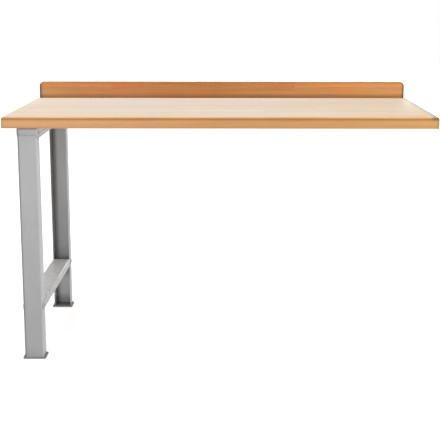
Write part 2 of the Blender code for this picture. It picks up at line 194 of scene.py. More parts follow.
def lathe(name, profile, steps=48, closed=False):  # profile: (radius, height) points, turned about Z
    deselectAll()
    bpy.ops.mesh.primitive_plane_add()
    piece = nameAndApply(name)
    editMode(piece)
    bpy.ops.mesh.select_all(action="SELECT")
    bpy.ops.mesh.merge(type="CENTER")
    bpy.ops.transform.translate(value=(profile[0][0], 0, profile[0][1]))
    path = list(profile) + ([profile[0]] if closed else [])
    for (r0, z0), (r1, z1) in zip(path, path[1:]):
        bpy.ops.mesh.extrude_vertices_move(TRANSFORM_OT_translate={"value": (r1 - r0, 0, z1 - z0)})
    mergeDoubles()
    objectMode()
    turn = piece.modifiers.new("turn", "SCREW")
    turn.axis = "Z"
    turn.steps = steps
    turn.render_steps = steps
    turn.use_merge_vertices = True
    turn.merge_threshold = mergeGap
    applyModifier(piece, turn)
    editMode(piece)
    mergeDoubles()
    bpy.ops.mesh.normals_make_consistent(inside=False)
    objectMode()
    return piece


def combine(piece, other, how, keep=False):  # Boolean, then the helper is thrown away
    boolean = piece.modifiers.new(how.lower(), "BOOLEAN")
    boolean.operation = how
    boolean.solver = "EXACT"
    boolean.object = other
    applyModifier(piece, boolean)
    if not keep:
        bpy.data.objects.remove(other)


def drill(pieces, radius, depth, spot, rotation=(0, 0, 0), sides=40):
    bit = startCylinder("drill", radius, depth, sides, spot, rotation)
    for piece in pieces:
        combine(piece, bit, "DIFFERENCE", keep=True)
    bpy.data.objects.remove(bit)


def smooth(piece, angle=30):
    makeActive(piece)
    bpy.ops.object.shade_smooth_by_angle(angle=math.radians(angle))


def placeCopy(master, name, location, rotation=(0, 0, 0)):
    copy = master.copy()
    copy.data = master.data.copy()
    copy.name = name
    copy.data.name = name
    bpy.context.collection.objects.link(copy)
    copy.location = location
    copy.rotation_euler = rotation
    makeActive(copy)
    bpy.ops.object.transform_apply(location=True, rotation=True, scale=True)
    return copy


def paint(piece, material):
    piece.data.materials.clear()
    piece.data.materials.append(material)


def fit(piece, slot, *nodes):
    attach(piece, "root")
    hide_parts(*nodes)


def middleOf(node):
    low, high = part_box(node)
    return [(a + b) / 2 for a, b in zip(low, high)]


def nodesNamed(*starts):
    return sorted(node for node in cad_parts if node.startswith(starts))


# node helpers

def newMaterial(name):
    material = bpy.data.materials.new(name)
    material.use_nodes = True
    return material, material.node_tree.nodes["Principled BSDF"]


def feed(tree, socket, value):  # a socket takes a link, a number or a colour
    if isinstance(value, bpy.types.NodeSocket):
        tree.links.new(value, socket)
    else:
        socket.default_value = value


def addNode(tree, kind, inputs=None, **settings):
    node = tree.nodes.new(kind)
    for key, value in settings.items():
        setattr(node, key, value)
    for key, value in (inputs or {}).items():
        feed(tree, node.inputs[key], value)
    return node


def calculate(tree, operation, a, b):
    return addNode(tree, "ShaderNodeMath", {0: a, 1: b}, operation=operation).outputs[0]


def opaque(colour):
    return (*colour, 1) if isinstance(colour, tuple) else colour


def ramp(tree, factor, stops):  # stops: (place, colour or grey)
    node = addNode(tree, "ShaderNodeValToRGB", {"Fac": factor})
    band = node.color_ramp
    while len(band.elements) < len(stops):
        band.elements.new(0.5)
    for element, (place, colour) in zip(band.elements, stops):
        element.position = place
        element.color = opaque(colour if isinstance(colour, tuple) else (colour,) * 3)
    return node.outputs["Color"]


def rise(tree, factor, span, amount=1.0):  # from 0 at the start of the span to the amount at its end
    return ramp(tree, factor, [(span[0], 0.0), (span[1], amount)])


def fall(tree, factor, span, amount=1.0):  # from the amount at the start of the span to 0 at its end
    return ramp(tree, factor, [(span[0], amount), (span[1], 0.0)])


def mixColour(tree, factor, a, b, how="MIX"):
    node = addNode(tree, "ShaderNodeMix", data_type="RGBA", blend_type=how)
    colourA, colourB = node.inputs[6], node.inputs[7]  # several inputs share the names A and B
    for socket, value in ((node.inputs[0], factor), (colourA, opaque(a)), (colourB, opaque(b))):
        feed(tree, socket, value)
    return node.outputs[2]


def multiply(tree, a, b, factor=1.0):
    return mixColour(tree, factor, a, b, "MULTIPLY")


def stretchedNoise(tree, vector, stretch, detail, roughness, distortion=0.0):
    mapping = addNode(tree, "ShaderNodeMapping", {"Vector": vector, "Scale": stretch})
    noise = addNode(tree, "ShaderNodeTexNoise", {
        "Vector": mapping.outputs["Vector"], "Scale": 1.0, "Detail": detail,
        "Roughness": roughness, "Distortion": distortion})
    return noise.outputs["Fac"]


def split(tree, vector):
    return addNode(tree, "ShaderNodeSeparateXYZ", {"Vector": vector}).outputs


def objectCoords(tree):
    coords = addNode(tree, "ShaderNodeTexCoord").outputs["Object"]
    return coords, split(tree, coords)


def unit(tree, value, low, high):  # a coordinate as a share of its range
    inputs = {"Value": value, "From Min": low, "From Max": high}
    return addNode(tree, "ShaderNodeMapRange", inputs).outputs["Result"]


def absolute(tree, value):
    return addNode(tree, "ShaderNodeMath", {0: value}, operation="ABSOLUTE").outputs[0]


def facing(tree):
    return split(tree, addNode(tree, "ShaderNodeNewGeometry").outputs["Normal"])


def flatness(tree, sides):  # 1 on faces square to one of the sides, less on rounded edges
    normal = facing(tree)
    most = absolute(tree, normal[sides[0]])
    for side in sides[1:]:
        most = calculate(tree, "MAXIMUM", most, absolute(tree, normal[side]))
    return most


def addBump(tree, shader, height, strength, distance):
    bump = addNode(tree, "ShaderNodeBump", {"Strength": strength, "Distance": distance, "Height": height})
    tree.links.new(bump.outputs["Normal"], shader.inputs["Normal"])


# beech: glued staves, growth bands, fine grain and the short dark flecks of the wood
# a noise is (stretch, detail, roughness, distortion); the height tones go by height and along goes by share
# of the length; both paint light and shade

grain = {
    "bands": ((1.1, 42, 30), 3.0, 0.55, 0.6), "streaks": ((5.5, 380, 300), 4.0, 0.6),
    "flecks": ((170, 1500, 1100), 1.0, 0.5), "patches": ((3.4, 12, 12), 3.0, 0.55, 0.8),
    "blotches": ((8, 70, 70), 3.0, 0.6),
    "staveStart": 0.17, "staveOffset": 0.37, "logJump": 7.3, "streakShare": 0.42,
    "figure": (0.34, 0.50, 0.64), "patchSpan": (0.36, 0.64), "fleckSpan": (0.60, 0.68),
    "staveShade": [(0.0, (0.78, 0.74, 0.70)), (0.5, (1, 1, 1)), (1.0, (1.12, 1.14, 1.18))],
    "pithJump": (0, 0.25, 0.06), "ringWobble": 7.0, "ringDetail": 3.0, "ringDetailScale": 0.35,
    "blotchShare": 0.55, "ringSpan": (0.30, 0.66), "endTint": 0.5, "endFacing": (0.45, 0.80),
    "glueSmooth": 0.3, "glueSpan": (0.2, 1.0), "glueAmount": 0.30,
    "shineSpan": (0.35, 0.65), "fleckRelief": 0.35, "bump": 0.12, "bumpHeight": 0.0004,
    "rimSpan": (0.70, 0.97), "sapwoodAmount": 0.9, "frontStaveAmount": 0.8,
}
worktopWood = {
    "staveLength": 0.52, "staveWidth": 0.68 / 15, "frontEdge": cadBox[0][1], "glueLine": 0.00035,
    "pale": (0.82, 0.475, 0.230), "middle": (0.775, 0.415, 0.178), "deep": (0.65, 0.33, 0.125),
    "staveTint": 0.16, "fleck": (0.42, 0.20, 0.07), "fleckAmount": 0.28,
    "roughness": (0.52, 0.66), "gloss": 0.14,
    "warmPatch": (1.03, 0.985, 0.93), "coolPatch": (0.98, 0.99, 1.0),
    "endPale": (0.61, 0.345, 0.145), "endDark": (0.44, 0.235, 0.092),
    "ringScale": 62, "pith": (0, 0.06, -0.80),
    # painted shade: darker along the lower edge and in a band where the upper rounding starts
    "layers": [(0.830, (0.82, 0.80, 0.84)), (0.836, (0.98, 0.96, 1.03)), (0.845, (1, 0.98, 1.02)),
               (0.852, (1.02, 1.03, 0.98)), (0.8570, (0.97, 0.97, 0.95)), (0.8618, (0.47, 0.44, 0.39)),
               (0.8640, (0.47, 0.44, 0.39)), (0.8674, (0.95, 0.95, 0.95))],
    # painted light makes the left end paler; painted shade darkens both ends
    "along": [(0.0018, (0.60, 0.60, 0.60)), (0.0045, (1.07, 1.12, 1.22)), (0.10, (1.07, 1.12, 1.22)),
              (0.50, (0.95, 0.93, 0.87)), (0.92, (1.04, 1.05, 0.92)), (0.9955, (1.04, 1.05, 0.92)),
              (0.9982, (0.58, 0.56, 0.52))],
    # the top is painted paler than the edges as sheen and light, paler at the left and darker towards the
    # right as light falls
    "sanded": (0.8674, 0.8698), "sandedPale": (0.836, 0.805, 0.714), "sandedDeep": (0.764, 0.723, 0.623),
    "sandedAlong": [(0.08, (1.05, 1.05, 1.05)), (0.30, (1.02, 1.04, 1.07)), (0.95, (0.88, 0.85, 0.80))],
    # painted light: the rear strip by the upstand is painted paler against its shade
    "sapwood": [(0.60, (0.97, 1.0, 0.98)), (0.90, (0.84, 0.82, 0.735))], "sapwoodFrom": (0.45, 0.96),
    "frontStave": [(0.45, (0.873, 0.736, 0.564)), (0.90, (0.79, 0.61, 0.41))], "frontStaveTo": (0.03, 0.09),
    # painted shade at the free end: on the top, and along its upper rim
    "freeEnd": [(0.9870, (1, 1, 1)), (0.9925, (0.70, 0.70, 0.68))],
    "freeRim": [(0.979, (1, 1, 1)), (0.988, (0.45, 0.46, 0.48))], "freeRimFrom": (0.858, 0.862),
    "rawBelow": (0.8301, 0.8306), "rawPale": (0.70, 0.60, 0.47), "rawDeep": (0.58, 0.48, 0.36),
}
upstandWood = {
    "staveLength": 0.74, "staveWidth": 0.2, "frontEdge": 0.25, "glueLine": 0.0002,
    "pale": (0.60, 0.265, 0.082), "middle": (0.535, 0.225, 0.063), "deep": (0.43, 0.167, 0.042),
    "staveTint": 0.06, "fleck": (0.30, 0.10, 0.03), "fleckAmount": 0.28,
    "roughness": (0.40, 0.52), "gloss": 0.30,
    "warmPatch": (1.06, 0.97, 0.86), "coolPatch": (0.93, 1.0, 1.12),
    "endPale": (0.40, 0.16, 0.045), "endDark": (0.29, 0.11, 0.032),
    "ringScale": 66, "pith": (0, -0.30, -0.80),
    # painted shade darkens the foot of the upstand; the upper band is painted lighter as light
    "layers": [(0.876, (0.58, 0.55, 0.49)), (0.880, (0.66, 0.63, 0.56)), (0.884, (0.82, 0.79, 0.72)),
               (0.888, (1, 1, 1)), (0.911, (1, 1, 1)), (0.918, (1.15, 0.98, 0.74)),
               (0.9240, (1.15, 0.98, 0.74)), (0.9270, (0.90, 0.85, 0.80))],
    # painted shade darkens both ends; the tone between them changes along the length
    "along": [(0.0130, (0.34, 0.34, 0.32)), (0.0165, (1.12, 1.15, 1.12)), (0.05, (1.12, 1.13, 1.08)),
              (0.12, (1.03, 0.97, 0.87)), (0.48, (0.88, 0.81, 0.65)), (0.95, (1.13, 1.29, 1.60)),
              (0.9842, (1.13, 1.29, 1.60)), (0.9875, (0.40, 0.42, 0.46))],
    # painted shade on the rounded edges
    "rim": (0.56, 0.54, 0.52),
}


def staveRows(tree, coords, wood):  # a chance tone for each stave, and the glue lines between them
    rows = addNode(tree, "ShaderNodeMapping", {
        "Vector": coords, "Location": (grain["staveStart"], -wood["frontEdge"], 0)})
    staves = addNode(tree, "ShaderNodeTexBrick", {
        "Vector": rows.outputs["Vector"], "Color1": (0, 0, 0, 1), "Color2": (1, 1, 1, 1),
        "Mortar": (0.5, 0.5, 0.5, 1), "Scale": 1.0, "Bias": 0.0,
        "Mortar Size": wood["glueLine"], "Mortar Smooth": grain["glueSmooth"],
        "Brick Width": wood["staveLength"], "Row Height": wood["staveWidth"],
    }, offset=grain["staveOffset"], offset_frequency=2)
    return staves.outputs["Color"], staves.outputs["Fac"]


def figured(tree, figure, deep, pale):
    return ramp(tree, figure, [(grain["figure"][0], deep), (grain["figure"][-1], pale)])


def sheenLitTop(tree, wood, figure, place, length):  # painted paler than the edges as the sheen and light on the top; the rear stave is painted paler still as light against the upstand's shade, the front one ruddy
    depth = unit(tree, place["Y"], cadBox[0][1], cadBox[1][1])
    paleLitTop = figured(tree, figure, wood["sandedDeep"], wood["sandedPale"])
    paleLitTop = multiply(tree, paleLitTop, ramp(tree, length, wood["sandedAlong"]))
    rear = rise(tree, depth, wood["sapwoodFrom"], grain["sapwoodAmount"])
    paleLitTop = mixColour(tree, rear, paleLitTop, ramp(tree, length, wood["sapwood"]))
    front = fall(tree, depth, wood["frontStaveTo"], grain["frontStaveAmount"])
    paleLitTop = mixColour(tree, front, paleLitTop, ramp(tree, length, wood["frontStave"]))
    # painted shade darkens the top towards the free end
    return multiply(tree, paleLitTop, ramp(tree, length, wood["freeEnd"]))


def boardColour(tree, wood, figure, place):  # long grain, toned by height and along the length, which paints light and shade
    stops = zip(grain["figure"], (wood["deep"], wood["middle"], wood["pale"]))
    colour = multiply(tree, ramp(tree, figure, list(stops)), ramp(tree, place["Z"], wood["layers"]))
    length = unit(tree, place["X"], cadBox[0][0], cadBox[1][0])
    colour = multiply(tree, colour, ramp(tree, length, wood["along"]))
    if "sanded" in wood:  # painted shade darkens the upper rim at the free end
        paintedLightAndShade = multiply(tree, colour, ramp(tree, length, wood["freeRim"]))
        colour = mixColour(tree, rise(tree, place["Z"], wood["freeRimFrom"]), colour, paintedLightAndShade)
        paleLitTop = sheenLitTop(tree, wood, figure, place, length)
        colour = mixColour(tree, rise(tree, place["Z"], wood["sanded"]), colour, paleLitTop)
    if "rawBelow" in wood:  # the underside is left raw
        raw = figured(tree, figure, wood["rawDeep"], wood["rawPale"])
        colour = mixColour(tree, fall(tree, place["Z"], wood["rawBelow"]), colour, raw)
    if "rim" in wood:  # painted shade darkens the rounded edges
        start, full = grain["rimSpan"]
        paintedRimShade = ramp(tree, flatness(tree, "YZ"), [(start, wood["rim"]), (full, (1, 1, 1))])
        colour = multiply(tree, colour, paintedRimShade)
    return colour


def endGrain(tree, wood, coords, tone):  # growth rings, darker than the long grain
    jump = addNode(tree, "ShaderNodeVectorMath", {0: tone, 1: grain["pithJump"]}, operation="MULTIPLY")
    moved = addNode(tree, "ShaderNodeVectorMath", {0: coords, 1: jump.outputs["Vector"]}, operation="ADD")
    ringPlace = moved.outputs["Vector"]
    pith = addNode(tree, "ShaderNodeMapping", {"Vector": ringPlace, "Location": wood["pith"]})
    rings = addNode(tree, "ShaderNodeTexWave", {
        "Vector": pith.outputs["Vector"], "Scale": wood["ringScale"], "Distortion": grain["ringWobble"],
        "Detail": grain["ringDetail"], "Detail Scale": grain["ringDetailScale"],
    }, wave_type="RINGS", rings_direction="X")
    blotches = stretchedNoise(tree, ringPlace, *grain["blotches"])
    ringTone = mixColour(tree, grain["blotchShare"], rings.outputs["Fac"], blotches)
    dark, pale = grain["ringSpan"]
    return ramp(tree, ringTone, [(dark, wood["endDark"]), (pale, wood["endPale"])])


def beechMaterial(name, wood):
    material, shader = newMaterial(name)
    tree = material.node_tree
    coords, place = objectCoords(tree)
    tone, glue = staveRows(tree, coords, wood)

    # each stave is cut from its own place in the log
    jump = addNode(tree, "ShaderNodeVectorMath", {0: tone, "Scale": grain["logJump"]}, operation="SCALE")
    moved = addNode(tree, "ShaderNodeVectorMath", {0: coords, 1: jump.outputs["Vector"]}, operation="ADD")
    bands, streaks, flecks = [stretchedNoise(tree, moved.outputs["Vector"], *grain[kind])
                              for kind in ("bands", "streaks", "flecks")]
    patches = stretchedNoise(tree, coords, *grain["patches"])
    figure = mixColour(tree, grain["streakShare"], bands, streaks)

    colour = boardColour(tree, wood, figure, place)
    staveShade = ramp(tree, tone, grain["staveShade"])
    colour = multiply(tree, colour, staveShade, wood["staveTint"])
    warm, cool = grain["patchSpan"]
    patchShade = ramp(tree, patches, [(warm, wood["warmPatch"]), (cool, wood["coolPatch"])])
    colour = multiply(tree, colour, patchShade)
    fleckMask = rise(tree, flecks, grain["fleckSpan"], wood["fleckAmount"])
    colour = mixColour(tree, fleckMask, colour, wood["fleck"])

    ends = multiply(tree, endGrain(tree, wood, coords, tone), staveShade, grain["endTint"])
    ends = mixColour(tree, fleckMask, ends, wood["fleck"])
    sideways = absolute(tree, facing(tree)["X"])
    colour = mixColour(tree, rise(tree, sideways, grain["endFacing"]), colour, ends)
    colour = mixColour(tree, rise(tree, glue, grain["glueSpan"], grain["glueAmount"]), colour, wood["fleck"])
    tree.links.new(colour, shader.inputs["Base Color"])

    low, high = wood["roughness"]
    dull, bright = grain["shineSpan"]
    tree.links.new(ramp(tree, streaks, [(dull, high), (bright, low)]), shader.inputs["Roughness"])
    shader.inputs["Specular IOR Level"].default_value = wood["gloss"]
    relief = mixColour(tree, grain["fleckRelief"], streaks, flecks)
    addBump(tree, shader, relief, grain["bump"], grain["bumpHeight"])
    return material


# powder coat: fine orange-peel skin, a little uneven in gloss, dusty and scuffed towards the floor, with
# painted light and shade on folds, edges, up-facing faces and inside the legs

skin = {
    "clouds": ((9, 9, 5), 4.0, 0.6), "peel": ((650, 650, 650), 2.0, 0.5),
    "specks": ((1900, 1900, 1900), 1.0, 0.5), "scratches": ((260, 260, 34), 3.0, 0.65, 1.2),
    "drifts": ((75, 75, 75), 3.0, 0.6),
    "cloudSpan": (0.35, 0.65), "shineSpan": (0.3, 0.7), "dustFacing": (0.75, 1.0), "dustAmount": 0.8,
    "driftShade": [(0.36, 0.60), (0.60, 1.0)], "speckSpan": (0.66, 0.74), "speckAmount": 0.35,
    "foldSpan": (0.74, 0.95), "rubPatches": [(0.30, 0.4), (0.60, 1.0)],
    "scuffSpan": (0.63, 0.70), "scuffLow": 0.2, "scuffAmount": 0.7, "bump": 0.10, "bumpHeight": 0.0003,
}
greyCoat = {
    "light": (0.408, 0.409, 0.411), "dark": (0.368, 0.370, 0.373), "roughness": (0.38, 0.52),
    # darker just above the floor; painted shadow on the rail's top fold under the board
    "grime": [(0.006, 0.90), (0.04, 1.0), (0.8225, 1.0), (0.8275, 0.62)],
    # the dust tone is pale enough to act partly as painted light on up-facing faces
    "speck": (0.33, 0.33, 0.33), "dust": (0.78, 0.81, 0.83), "scuff": (0.54, 0.54, 0.53), "scuffTop": 0.14,
    # the fold rub is partly a painted highlight; the edge tone is painted shade
    "rub": (0.50, 0.50, 0.50), "rubAmount": 0.7, "edgeDirt": (0.20, 0.20, 0.20),
    # painted shade inside the legs around the beam's ends, painted light lower down inside them
    "nook": [(0.018, 1.0), (0.045, 1.4), (0.108, 1.35), (0.135, 0.80), (0.160, 0.48), (0.196, 0.45),
             (0.212, 0.76), (0.255, 1.0)],
}
darkCoat = {
    "light": (0.25, 0.25, 0.25), "dark": (0.20, 0.20, 0.20), "roughness": (0.45, 0.60),
    "grime": [(0.0, 0.85), (0.004, 1.0)],
    "speck": (0.10, 0.10, 0.10), "dust": (0.12, 0.12, 0.12), "scuff": (0.24, 0.24, 0.24), "scuffTop": 0.03,
    "rub": (0.30, 0.30, 0.30), "rubAmount": 0.6,
}
# masks for painted shade: along the outer edge of the legs, and on the faces inside them
legShadeMasks = {
    "margin": (-0.0255, -0.0290), "facing": (0.25, 0.60), "amount": 0.9,  # along the outer edge
    "web": (-0.20, -0.30), "flange": (-0.015, -0.025),  # far from the middle and looking back at it
}


def acrossLeg(tree, place):  # distance to the middle of the legs
    return calculate(tree, "SUBTRACT", place["X"], middleOf("front_leg")[0])


def outerEdge(tree, place):  # along the outer upright edge of a leg, on its front and rear faces
    margin = unit(tree, acrossLeg(tree, place), *legShadeMasks["margin"])
    upright = rise(tree, absolute(tree, facing(tree)["Y"]), legShadeMasks["facing"], legShadeMasks["amount"])
    return multiply(tree, margin, upright)


def insideLegs(tree, place):  # 1 on the faces that look into the open side of a leg
    normal = facing(tree)
    web = calculate(tree, "MULTIPLY", normal["Y"], place["Y"])
    web = unit(tree, web, *legShadeMasks["web"])
    flange = calculate(tree, "MULTIPLY", normal["X"], acrossLeg(tree, place))
    flange = unit(tree, flange, *legShadeMasks["flange"])
    return calculate(tree, "MAXIMUM", web, flange)


def powderCoatMaterial(name, coat):
    material, shader = newMaterial(name)
    tree = material.node_tree
    coords, place = objectCoords(tree)
    clouds, peel, specks, scratches, drifts = [stretchedNoise(tree, coords, *skin[kind]) for kind in (
        "clouds", "peel", "specks", "scratches", "drifts")]
    low, high = skin["cloudSpan"]
    colour = ramp(tree, clouds, [(low, coat["dark"]), (high, coat["light"])])
    # darker just above the floor; on the grey coat also painted shadow on the rail's top fold under the board
    colour = multiply(tree, colour, ramp(tree, place["Z"], coat["grime"]))
    if "nook" in coat:  # painted shade inside the legs around the ends of the beam, and painted light lower down inside them
        paintedLightAndShade = multiply(tree, colour, ramp(tree, place["Z"], coat["nook"]))
        colour = mixColour(tree, insideLegs(tree, place), colour, paintedLightAndShade)
    upward = rise(tree, facing(tree)["Z"], skin["dustFacing"], skin["dustAmount"])  # dust on up-facing faces; its pale tone is partly painted light
    upFacingMask = multiply(tree, upward, ramp(tree, drifts, skin["driftShade"]))
    colour = mixColour(tree, upFacingMask, colour, coat["dust"])
    speckMask = rise(tree, specks, skin["speckSpan"], skin["speckAmount"])
    colour = mixColour(tree, speckMask, colour, coat["speck"])
    folds = fall(tree, flatness(tree, "XYZ"), skin["foldSpan"], coat["rubAmount"])  # rubbed a little lighter, partly a painted highlight on the folds
    patchy = multiply(tree, folds, ramp(tree, scratches, skin["rubPatches"]))
    colour = mixColour(tree, patchy, colour, coat["rub"])
    if "edgeDirt" in coat:  # painted shade along the outer upright edge of the legs
        colour = mixColour(tree, outerEdge(tree, place), colour, coat["edgeDirt"])
    scuffTop = coat["scuffTop"]
    nearFloor = fall(tree, place["Z"], (scuffTop * skin["scuffLow"], scuffTop), skin["scuffAmount"])
    scuffMask = multiply(tree, rise(tree, scratches, skin["scuffSpan"]), nearFloor)
    colour = mixColour(tree, scuffMask, colour, coat["scuff"])
    tree.links.new(colour, shader.inputs["Base Color"])
    shine = zip(skin["shineSpan"], coat["roughness"])
    tree.links.new(ramp(tree, clouds, list(shine)), shader.inputs["Roughness"])
    addBump(tree, shader, peel, skin["bump"], skin["bumpHeight"])
    return material


# plated and turned metals

plating = {"bloom": (3.0, 0.6), "fine": (1.0, 0.5), "fineness": 6,  # detail and roughness of the noises
           "colourSpan": (0.35, 0.65), "shineSpan": (0.3, 0.7), "bump": 0.08, "bumpHeight": 0.0001}
zincPlate = {"light": (0.74, 0.74, 0.73), "dark": (0.52, 0.53, 0.56),
             "roughness": (0.22, 0.42), "grain": 420}
turnedBrass = {"light": (0.80, 0.62, 0.30), "dark": (0.58, 0.40, 0.15),
               "roughness": (0.24, 0.40), "grain": 380}


def metalMaterial(name, metal):
    material, shader = newMaterial(name)
    tree = material.node_tree
    coords = addNode(tree, "ShaderNodeTexCoord").outputs["Object"]
    bloom = stretchedNoise(tree, coords, (metal["grain"],) * 3, *plating["bloom"])
    fine = stretchedNoise(tree, coords, (metal["grain"] * plating["fineness"],) * 3, *plating["fine"])
    colours = zip(plating["colourSpan"], (metal["dark"], metal["light"]))
    tree.links.new(ramp(tree, bloom, list(colours)), shader.inputs["Base Color"])
    shine = zip(plating["shineSpan"], reversed(metal["roughness"]))
    tree.links.new(ramp(tree, bloom, list(shine)), shader.inputs["Roughness"])
    shader.inputs["Metallic"].default_value = 1.0
    addBump(tree, shader, fine, plating["bump"], plating["bumpHeight"])
    return material


topBeech = beechMaterial("beech_worktop_finish", worktopWood)
upstandBeech = beechMaterial("beech_upstand_finish", upstandWood)
greyPaint = powderCoatMaterial("grey_powder_coat", greyCoat)
darkPaint = powderCoatMaterial("dark_powder_coat", darkCoat)
zincSteel = metalMaterial("bright_zinc", zincPlate)
brassMetal = metalMaterial("turned_brass", turnedBrass)
print("materials ready")


# worktop board: rounded upper edges, square lower ones, drilled from below for the inserts

board = {"upperRound": 0.009, "uprightRound": 0.004, "ease": 0.0015, "steps": 7,
         "insertHole": 0.0068, "holeDepth": 0.0188}

low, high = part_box("worktop")
topBoard = startCube("worktop_board", low, high)
midZ = (low[2] + high[2]) / 2
midY = (low[1] + high[1]) / 2
weightedBevel(topBoard, [
    (lambda edge: edgeRun(edge) == 2, board["uprightRound"]),
    (lambda edge: edgeRun(edge) != 2 and edgeMiddle(edge).z > midZ, board["upperRound"]),
    (lambda edge: edgeRun(edge) == 0 and edgeMiddle(edge).z > midZ and edgeMiddle(edge).y > midY,
     board["ease"]),  # against the upstand
    (lambda edge: edgeRun(edge) != 2 and edgeMiddle(edge).z < midZ, board["ease"]),
], board["steps"])
insertNodes = nodesNamed("left_insert", "right_insert")
for node in insertNodes:
    x, y = middleOf(node)[:2]
    drill([topBoard], board["insertHole"], 2 * board["holeDepth"], (x, y, low[2]))
print("worktop board shaped")


# upstand strip: rounded end corners, eased all round, countersunk from behind

strip = {"corner": 0.018, "cornerSteps": 12, "ease": 0.003, "easeSteps": 5,
         "sink": 0.0053, "sinkBelow": 0.0005, "mouth": 0.004, "screwHole": 0.0028, "screwReach": 0.062}


def sinkTool():  # a countersink on a drill, its rim a little below z = 0
    wide, narrow, reach = strip["sink"], strip["screwHole"], -strip["screwReach"]
    rim = -strip["sinkBelow"]
    return lathe("sink", [(0, strip["mouth"]), (wide, strip["mouth"]), (wide, rim),
                          (narrow, rim + narrow - wide), (narrow, reach), (0, reach)])


low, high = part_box("backstop")
upstand = startCube("upstand_strip", low, high)
midZ = (low[2] + high[2]) / 2
bevelEdges(upstand, lambda edge: edgeRun(edge) == 1 and edgeMiddle(edge).z > midZ,
           strip["corner"], strip["cornerSteps"])
easeSharp(upstand, strip["ease"], strip["easeSteps"])
screwNodes = nodesNamed("backstop_screw")
sinkMaster = sinkTool()
for node in screwNodes:
    x, _, z = middleOf(node)
    sink = placeCopy(sinkMaster, "sink_here", (x, high[1], z), (-quarter, 0, 0))
    combine(topBoard, sink, "DIFFERENCE", keep=True)
    combine(upstand, sink, "DIFFERENCE")
bpy.data.objects.remove(sinkMaster)
for piece, material, slot, node in ((topBoard, topBeech, "beech_worktop", "worktop"),
                                    (upstand, upstandBeech, "beech_upstand", "backstop")):
    smooth(piece)
    paint(piece, material)
    fit(piece, slot, node)
print("worktop and upstand done")


# folded sheet: the open shape is bent first, then given its thickness and softened at the cut edges

sheet = {"wall": 0.0015, "fold": 0.005, "foldSteps": 6, "cutEdge": 0.0004, "boltHole": 0.0043,
         "drillDepth": 0.014}


def foldedChannel(name, low, high, along, openSide):
    # along: axis the channel runs; openSide: (axis, sign) of the missing wall
    piece = startCube(name, low, high)
    middle = [(a + b) / 2 for a, b in zip(low, high)]
    axis, sign = openSide
    deleteFaces(piece, lambda face: abs(face.normal[along]) > mostly or face.normal[axis] * sign > mostly)
    bevelEdges(piece, lambda edge: edgeRun(edge) == along
               and (edgeMiddle(edge)[axis] - middle[axis]) * sign < 0, sheet["fold"], sheet["foldSteps"])
    thicken(piece, sheet["wall"])
    return piece


frontLeg = foldedChannel("front_leg_channel", *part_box("front_leg"), along=2, openSide=(1, 1))
rearLeg = foldedChannel("rear_leg_channel", *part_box("rear_leg"), along=2, openSide=(1, -1))
print("legs folded")


# top rail: a lidded channel; short lips cover the legs and the flanges slope up to them

rail = {"lip": 0.023, "overrun": 0.01}

low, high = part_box("top_rail")
topRail = startCube("top_rail_channel", low, high)
deleteFaces(topRail, lambda face: face.normal.z < -mostly)
midZ = (low[2] + high[2]) / 2
weightedBevel(topRail, [
    (lambda edge: edgeRun(edge) == 2, sheet["fold"]),
    (lambda edge: edgeRun(edge) != 2 and edgeMiddle(edge).z > midZ, sheet["fold"]),
], sheet["foldSteps"])
thicken(topRail, sheet["wall"])
lipFloor = high[2] - rail["lip"]
cutFloor = low[2] - rail["overrun"]
slopeRun = lipFloor - cutFloor
midCut = (lipFloor + cutFloor) / 2
for wall, inward in ((low[1], 1), (high[1], -1)):
    yEnds = sorted((wall - inward * rail["overrun"], wall + inward * (sheet["fold"] + slopeRun)))
    mouth = startCube("mouth", (low[0] - rail["overrun"], yEnds[0], cutFloor),
                      (high[0] + rail["overrun"], yEnds[1], lipFloor))
    midY = sum(yEnds) / 2
    moveEdges(mouth, lambda edge: edgeRun(edge) == 0 and edgeMiddle(edge).z > midCut
              and (edgeMiddle(edge).y - midY) * inward > 0, (0, -inward * slopeRun, 0))
    combine(topRail, mouth, "DIFFERENCE")
print("top rail folded")


# cross beam: low channel whose flanges lap the legs; its web stops short of them

beam = {"webEnd": 0.001, "relief": 0.0002, "overrun": 0.01}

low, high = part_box("cross_beam")
crossBeam = foldedChannel("cross_beam_channel", low, high, along=1, openSide=(2, -1))
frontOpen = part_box("front_leg")[1][1]
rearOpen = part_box("rear_leg")[0][1]
inset = sheet["wall"] - beam["relief"]
notchFloor = high[2] - sheet["fold"] - beam["relief"]
for start, stop in ((low[1] - beam["overrun"], frontOpen + beam["webEnd"]),
                    (rearOpen - beam["webEnd"], high[1] + beam["overrun"])):
    notch = startCube("notch", (low[0] + inset, start, notchFloor),
                      (high[0] - inset, stop, high[2] + beam["overrun"]))
    combine(crossBeam, notch, "DIFFERENCE")
print("cross beam folded")


# bolt holes through the sheets, then the cut edges are eased

legs = {"front": frontLeg, "rear": rearLeg}
boltNodes = nodesNamed("rail_bolt", "beam_bolt")
for node in boltNodes:
    leg = legs["front" if "_front_" in node else "rear"]
    carrier = topRail if node.startswith("rail") else crossBeam
    drill([leg, carrier], sheet["boltHole"], sheet["drillDepth"], middleOf(node), (0, quarter, 0))
topBoltNodes = nodesNamed("top_bolt")
for node in topBoltNodes:
    drill([topRail], sheet["boltHole"], 2 * sheet["drillDepth"], middleOf(node))
for piece, node in ((frontLeg, "front_leg"), (rearLeg, "rear_leg"),
                    (topRail, "top_rail"), (crossBeam, "cross_beam")):
    easeSharp(piece, sheet["cutEdge"])
    smooth(piece)
    paint(piece, greyPaint)
    fit(piece, "grey_paint", node)
print("sheet pieces done")


# foot plates with an anchor hole inside the leg

foot = {"corner": 0.005, "ease": 0.001, "steps": 5, "hole": 0.0055, "drillDepth": 0.024}

